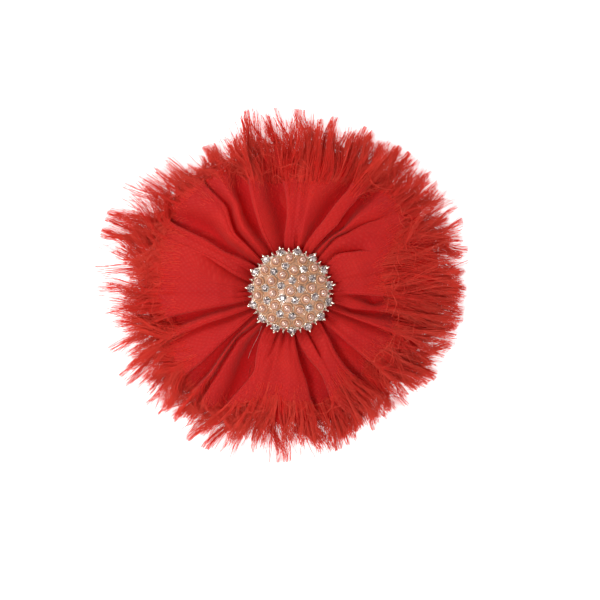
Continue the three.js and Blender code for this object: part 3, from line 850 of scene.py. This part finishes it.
fringe_rng = np.random.default_rng(SEED + 1)
fringes = {"upper": [], "lower": []}
for layer, grid, top in (("lower", lower_grid, lower_top), ("upper", upper_grid, upper_top)):
    for k, batch in enumerate(BATCHES[layer]):
        paths, tuft = strands(grid, top, fringe_rng, batch)
        shades = fringe_rng.uniform(0, 0.35, tuft.max() + 1)[tuft] + fringe_rng.uniform(0, 0.25, len(paths))
        fringes[layer].append(fringe_piece(f"{layer}_fringe_{k + 1}", paths, shades, batch.radius))
    crossing = cross_threads(grid, fringe_rng)
    shades = fringe_rng.uniform(0.2, 1, len(crossing))
    if layer == "upper":
        crossing = np.concatenate([crossing, stray_threads()])
        shades = np.append(shades, np.full(len(STRAY_THREADS), STRAY_SHADE))
    fringes[layer].append(fringe_piece(f"{layer}_cross_threads", crossing, shades))


# ---- the button


def box_mm(node):
    low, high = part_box(node)
    return np.array(low) / MM, np.array(high) / MM


SETTING_FOOT = box_mm("button_setting")[0][2]
ENAMEL_TOP_RADIUS = 19.9  # of the sphere that the enamel's surface is part of
METAL_RADIUS = 19.5
METAL_ANGLES, ENAMEL_ANGLES = (0.5, 29.8, 16), (0.4, 30.0, 18)  # degrees from the top, and steps
dome_centre = np.array([0, 0, box_mm("enamel_fill")[1][2] - 0.3 - ENAMEL_TOP_RADIUS])
RIM = [(11.0, 1.45), (11.2, 0.9), (10.9, 0.3), (10.4, 0.0), (0.1, 0.0)]  # heights over the setting's foot
PEARL_RADIUS = 1.05
CENTRE_PEARL_RADIUS = 1.15
PEARL_SEAT = 0.62  # height of a pearl's middle over the enamel, in pearl radii
PEARL_CUP = [
    (0.8, 0.1), (1.0, 0.42), (1.1, 0.60), (1.22, 0.66), (1.36, 0.60), (1.48, 0.40), (1.56, 0.15), (1.60, -0.2)
]
RING_RADIUS, RING_WIRE, RING_HEIGHT = 1.66, 0.055, 0.03  # the metal line round a pearl's cup
STONE_RADIUS = 1.0
STONE_RISE = 0.36  # of a stone's girdle over its seat
DOME_STONE_LIFT = 0.12  # of its seat over the enamel, away from the edge
STONE_CUP = [(0.9, 0.1), (0.98, 0.40), (1.06, 0.42), (1.12, 0.25), (1.15, -0.5)]  # radii in stone radii
STONE_LEVELS = [(1.0, 0.0), (1.0, 0.10), (0.78, 0.30), (0.40, 0.48)]  # girdle to table, in stone radii
EDGE_STONE_RADIUS = 1.08
EDGE_STONES = 15
EDGE_STONE_ANGLE = 8.0
EDGE_STONE_PLACE = 10.75  # from the button's axis
CLAW = [(1.0, 0.0), (0.85, 0.35), (0.5, 0.75), (0.2, 1.0)]  # shares of its root radius and height
CLAW_LEAN = math.radians(58)
CLAW_TIP_HEIGHT = 2.35  # over the setting's foot
LONG_CLAW, SHORT_CLAW = (12.55, 0.72, 1.9), (11.75, 0.42, 1.5)  # reach of the tip, root radius, length
BEAD_RADIUS, BEAD_INSET, BEAD_HEIGHT = 0.36, 0.75, 2.15  # inset from the short claw's tip
crystal_rng = np.random.default_rng(SEED + 2)
setting_parts, enamel_parts = Parts(), Parts()


def seat(direction, height):
    """A frame whose Z is along direction and whose origin is that height from the dome's centre."""
    z = unit(direction)
    x = unit(np.cross([0.0, 1.0, 0.0], z))
    return np.stack([x, np.cross(z, x), z]), dome_centre + z * height


def put(points, where, turn=0.0):
    """Moves points from a seat's own frame onto the button."""
    axes, origin = where
    c, s = math.cos(turn), math.sin(turn)
    spun = points @ np.array([[c, s, 0], [-s, c, 0], [0, 0, 1]])
    return spun @ axes + origin


def direction_to(node):
    low, high = box_mm(node)
    return (low + high) / 2 - dome_centre


def edge_direction(degrees):
    tilt = math.asin(EDGE_STONE_PLACE / ENAMEL_TOP_RADIUS)
    return on_circle(degrees, math.sin(tilt), math.cos(tilt))


def dome_profile(radius, angles):
    """(radius, height) points down the dome."""
    turn = np.radians(np.linspace(*angles))
    return list(zip(radius * np.sin(turn), radius * np.cos(turn) + dome_centre[2], strict=True))


def ball(radius, sides, rings, lowest=-60):
    turn = np.radians(np.linspace(lowest, 89.9, rings))
    return lathe(np.stack([radius * np.cos(turn), radius * np.sin(turn)], axis=1), sides)


def brilliant(radius):
    """Crown of a round stone: girdle, 16 lower facets, 8 upper ones and a flat table. Points and faces."""
    sixteenths, eighths = np.arange(16) * TURN / 16, np.arange(8) * TURN / 8
    turns = (sixteenths, sixteenths, eighths, eighths + TURN / 16)
    levels = zip(turns, STONE_LEVELS, strict=True)
    points = np.concatenate([on_circle(turn, radius * r, radius * z) for turn, (r, z) in levels])
    triangles = []
    for k in range(8):
        mid, following = 32 + k, 32 + (k + 1) % 8
        before, edge = 16 + (2 * k - 1) % 16, 16 + 2 * k
        table, table_before = 40 + k, 40 + (k - 1) % 8
        triangles += [(mid, before, edge), (mid, edge, edge + 1), (mid, edge + 1, following)]
        triangles += [(table_before, mid, table), (table, mid, following)]
    return points, [ring_faces(2, 16), triangles, [range(40, 48)]]


def add_pearl(node):
    """A pearl in place of its CAD node, with its enamel cup and the metal line round that."""
    where = seat(direction_to(node), ENAMEL_TOP_RADIUS)
    scale = CENTRE_PEARL_RADIUS / PEARL_RADIUS if node == "pearl_centre" else 1.0
    points, quads = lathe(np.array(PEARL_CUP) * [scale, 1], 28)
    enamel_parts.add(put(points, where), quads)
    ring = on_circle(np.linspace(0, TURN, 29), RING_RADIUS * scale, RING_HEIGHT)
    points, quads = tubes(ring[None], RING_WIRE, 6)
    setting_parts.add(put(points, where), quads)
    radius = PEARL_RADIUS * scale
    points, quads = ball(radius, 32, 18)
    points = put(points + [0, 0, PEARL_SEAT * radius], where)
    place(add_mesh(node.replace("pearl", "nacre"), points, [quads], nacre), ROOT, "pearl", node)


def add_stone_cup(where, radius, turn, prongs=4, prong=0.24):
    """A cup with prongs for one stone, cast in one with the setting."""
    points, quads = lathe(np.array(STONE_CUP) * [radius, 1], 24)
    setting_parts.add(put(points, where), quads)
    for k in range(prongs):
        angle = turn + 2 * math.pi * (k + 0.5) / prongs
        points, quads = ball(prong, 10, 7, -80)
        shift = on_circle(math.degrees(angle), radius * 1.02, 0.60 * radius)
        setting_parts.add(put(points * [1, 1, 1.15] + shift, where), quads)


def add_crystal(name, where, radius, turn, *nodes):
    """A stone, raised into its cup."""
    axes, origin = where
    points, faces = brilliant(radius)
    points = put(points, (axes, origin + axes[2] * STONE_RISE), turn)
    place(add_mesh(name, points, faces, crystal, smooth=False), ROOT, "crystal", *nodes)


def add_claw(degrees, reach, root, height):
    """A fine-tipped cone that leans outwards over the edge."""
    profile = [(root * r, height * h) for r, h in CLAW] + [(0.02, height * 1.04)]
    points, quads = lathe(profile, 12)
    out = on_circle(degrees, 1.0, 0.0)
    aside = np.cross([0, 0, 1.0], out)
    axis = out * math.sin(CLAW_LEAN) + np.array([0, 0, math.cos(CLAW_LEAN)])
    tip = out * reach + np.array([0, 0, SETTING_FOOT + CLAW_TIP_HEIGHT])
    setting_parts.add(points @ np.stack([np.cross(aside, axis), aside, axis]) + tip - axis * height, quads)


rim = [(radius, SETTING_FOOT + height) for radius, height in RIM]
setting_parts.add(*lathe(dome_profile(METAL_RADIUS, METAL_ANGLES) + rim, 96))
coat = dome_profile(ENAMEL_TOP_RADIUS, ENAMEL_ANGLES)
coat.append((coat[-1][0] + 0.02, coat[-1][1] - 0.35))
enamel_parts.add(*lathe(coat, 96))

for name in sorted(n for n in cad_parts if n.startswith("pearl_")):
    add_pearl(name)

for name in sorted(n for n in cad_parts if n.startswith("rhinestone_")):
    where = seat(direction_to(name), ENAMEL_TOP_RADIUS + DOME_STONE_LIFT)
    turn = crystal_rng.uniform(0, math.pi)
    add_stone_cup(where, STONE_RADIUS, turn)
    add_crystal(name.replace("rhinestone", "crystal"), where, STONE_RADIUS, turn, name)

for k in range(EDGE_STONES):
    degrees = EDGE_STONE_ANGLE + k * TURN / EDGE_STONES
    between = degrees + TURN / EDGE_STONES / 2
    where = seat(edge_direction(degrees), ENAMEL_TOP_RADIUS)
    add_stone_cup(where, EDGE_STONE_RADIUS, 0.0, prongs=3, prong=0.27)
    add_crystal(f"crystal_edge_{k + 1}", where, EDGE_STONE_RADIUS, 0.2)
    add_claw(degrees, *LONG_CLAW)
    add_claw(between, *SHORT_CLAW)
    bead_place = on_circle(between, SHORT_CLAW[0] - BEAD_INSET, SETTING_FOOT + BEAD_HEIGHT)
    points, quads = ball(BEAD_RADIUS, 12, 8, -80)
    setting_parts.add(points + bead_place, quads)

place(setting_parts.mesh("cast_setting", cast_gold), ROOT, "setting", "button_setting")
place(enamel_parts.mesh("enamel_dome", enamel), ROOT, "enamel", "enamel_fill")


# ---- felt, threads, glue and clip

FELT_HAIRS = 900
STITCHES = 24  # ups and downs of a gathering thread on its way round
THREAD_TWISTS = 40
PLY_RADIUS, PLY_OFFSET = 0.09, 0.07
GLUE_START, GLUE_END = (231.0, 12.6, 17.9), (238.0, 22.0, 16.6)  # degrees, radius and height
COIL_RADIUS, COIL_TURNS, COIL_HALF, LEG, SPRING_WIRE = 1.5, 3.5, 1.7, 7.5, 0.3


def add_felt():
    """The backing disc, with a slightly uneven surface and fine hairs round its edge."""
    rng = np.random.default_rng(SEED + 3)
    (_, _, bottom), (radius, _, top) = box_mm("felt_backing")
    rings = (4, 8, 12, 15)
    profile = [(0.05, bottom)] + [(r, bottom) for r in (*rings, radius - 0.5)]
    profile += [(radius - 0.1, bottom + 0.2), (radius, (bottom + top) / 2), (radius - 0.1, top - 0.2)]
    profile += [(radius - 0.5, top)] + [(r, top) for r in reversed(rings)] + [(0.05, top)]
    points, quads = lathe(profile, 160)
    parts = Parts()
    parts.add(points + rng.normal(0, 0.045, points.shape), quads)
    turn = rng.uniform(0, TURN, FELT_HAIRS)
    root = on_circle(turn, radius - 0.15, rng.uniform(bottom + 0.1, top - 0.1, FELT_HAIRS))
    aim = turn + rng.normal(0, 30, FELT_HAIRS)
    out = on_circle(aim, rng.uniform(0.2, 0.8, FELT_HAIRS), rng.uniform(-0.3, 0.3, FELT_HAIRS))
    t = np.linspace(0, 1, 4)[None, :, None]
    hairs = root[:, None] + out[:, None] * t + rng.normal(0, 0.12, (FELT_HAIRS, 1, 3)) * t**2
    parts.add(*tubes(hairs, 0.02))
    place(parts.mesh("felt_disc", felt), ROOT, "felt", "felt_backing")


def add_running_stitch(layer):
    """The two-ply thread that gathers one strip."""
    low, high = box_mm(f"gathering_thread_{layer}")
    turn = np.linspace(0, 2 * math.pi, 241)
    parts = Parts()
    for phase in (0.0, math.pi):
        twist = THREAD_TWISTS * turn + phase
        radius = high[0] - 0.2 + PLY_OFFSET * np.cos(twist) + 0.12 * np.sin(STITCHES / 2 * turn)
        height = (low[2] + high[2]) / 2 + PLY_OFFSET * np.sin(twist) + 0.25 * np.sin(STITCHES * turn)
        path = np.stack([radius * np.cos(turn), radius * np.sin(turn), height], axis=1)
        parts.add(*tubes(path[None], PLY_RADIUS, 6))
    place(parts.mesh(f"running_stitch_{layer}", thread), ROOT, "thread", f"gathering_thread_{layer}")


def add_glue_thread():
    """The stray strand of glue below the button."""
    start, end = on_circle(*GLUE_START), on_circle(*GLUE_END)
    t = np.linspace(0, 1, 15)[:, None]
    sag = [0, 0, 0.5] * np.sin(math.pi * t) + [0.12, -0.1, 0] * np.sin(2 * math.pi * t)
    strand = start + (end - start) * t + sag
    points, quads = tubes(strand[None], 0.035 + 0.02 * np.abs(np.cos(7 * t[:, 0]))[None], 8)
    place(add_mesh("glue_thread", points, [quads], glue), ROOT, "glue")


def add_spring():
    """The torsion spring, along the same path as its CAD node: a leg, the coil and the other leg."""
    low, high = box_mm("hinge_pin")
    pin = (low + high) / 2
    coil_length = 2 * math.pi * COIL_RADIUS * COIL_TURNS
    leg = np.linspace(0, LEG, 12)
    coil = np.linspace(LEG, LEG + coil_length, 120)
    s = np.concatenate([leg[:-1], coil, LEG + coil_length + leg[1:]])
    wound = np.clip(s - LEG, 0, coil_length)
    turn = wound / coil_length * 2 * math.pi * COIL_TURNS
    upper_leg, lower_leg = np.maximum(LEG - s, 0), np.maximum(s - LEG - coil_length, 0)
    wire = np.stack(
        [
            pin[0] + COIL_RADIUS * np.sin(turn) - upper_leg - lower_leg,
            -COIL_HALF + 2 * COIL_HALF * wound / coil_length,
            pin[2] + COIL_RADIUS * np.cos(turn) + 0.004 * upper_leg**2 - 0.026 * lower_leg**2,
        ],
        axis=1,
    )
    points, quads = tubes(wire[None], SPRING_WIRE, 10)
    spring = add_mesh("torsion_wire", points, [quads], spring_steel)
    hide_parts("torsion_spring")
    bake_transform(spring)


add_felt()
for layer in ("lower", "upper"):
    add_running_stitch(layer)
add_glue_thread()
add_spring()
for material, names in (
    (steel, ("clip_fixed_jaw", "clip_lever_jaw", "hinge_pin")),
    (glue, ("clip_glue", "button_glue")),
):
    for name in names:
        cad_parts[name].data.materials.clear()
        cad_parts[name].data.materials.append(material)


# ---- camera, floor and light

VIEW_CENTRE_M = (0.00264, -0.0025)
VIEW_WIDTH_M = 0.1667
PETAL_HEIGHT_M = 0.012
CAMERA_HEIGHT_M = 0.8
SENSOR = 36.0
FLOOR = 3000  # from the middle to each side
HORIZON_LIGHT, ZENITH_LIGHT = 0.85, 0.36

camera_data = bpy.data.cameras.new("camera")
camera_data.sensor_width = SENSOR
camera_data.lens = SENSOR * (CAMERA_HEIGHT_M - PETAL_HEIGHT_M) / VIEW_WIDTH_M
camera_data.clip_start, camera_data.clip_end = 0.05, 20
camera = bpy.data.objects.new("camera", camera_data)
camera.location = (*VIEW_CENTRE_M, CAMERA_HEIGHT_M)
bpy.context.scene.collection.objects.link(camera)
bpy.context.scene.camera = camera

paper = Look("paper_floor", {"Roughness": 0.9, "Emission Color": (1, 1, 1, 1), "Emission Strength": 0.5})
grain = paper.noise(paper.coordinates["Object"], 400.0, 2.0)
paper.join(paper.ramp(grain, [(0.2, (0.90, 0.90, 0.90)), (0.8, (0.94, 0.94, 0.94))]), "Base Color")
floor_corners = [(-FLOOR, -FLOOR, 0), (FLOOR, -FLOOR, 0), (FLOOR, FLOOR, 0), (-FLOOR, FLOOR, 0)]
floor = add_mesh("floor", floor_corners, [[(0, 1, 2, 3)]], paper.material, smooth=False)


def softbox(name, place_m, size_m, power):
    """A rectangular studio light of that (width, height), turned to the flower."""
    data = bpy.data.lights.new(name, "AREA")
    data.shape = "RECTANGLE"
    data.size, data.size_y = size_m
    data.energy = power
    light = bpy.data.objects.new(name, data)
    light.location = place_m
    light.rotation_mode = "QUATERNION"
    light.rotation_quaternion = (-Vector(place_m)).to_track_quat("-Z", "Y")
    bpy.context.scene.collection.objects.link(light)


softbox("front", (-0.24, -0.22, 1.0), (0.24, 0.24), 6.6)
softbox("key", (-0.74, 0.52, 0.46), (0.60, 0.14), 4.2)
softbox("fill", (0.75, -0.45, 0.70), (0.6, 0.6), 1.6)
world = bpy.data.worlds.new("studio")
world.use_nodes = True
sky = world.node_tree
background = sky.nodes["Background"]
background.inputs["Color"].default_value = (1, 1, 1, 1)
height = sky.nodes.new("ShaderNodeSeparateXYZ")
sky.links.new(sky.nodes.new("ShaderNodeTexCoord").outputs["Generated"], height.inputs["Vector"])
dome_light = sky.nodes.new("ShaderNodeMapRange")
set_sockets(dome_light, {"To Min": HORIZON_LIGHT, "To Max": ZENITH_LIGHT})
sky.links.new(height.outputs["Z"], dome_light.inputs["Value"])
sky.links.new(dome_light.outputs["Result"], background.inputs["Strength"])
bpy.context.scene.world = world
bpy.context.scene.view_settings.view_transform = "Standard"
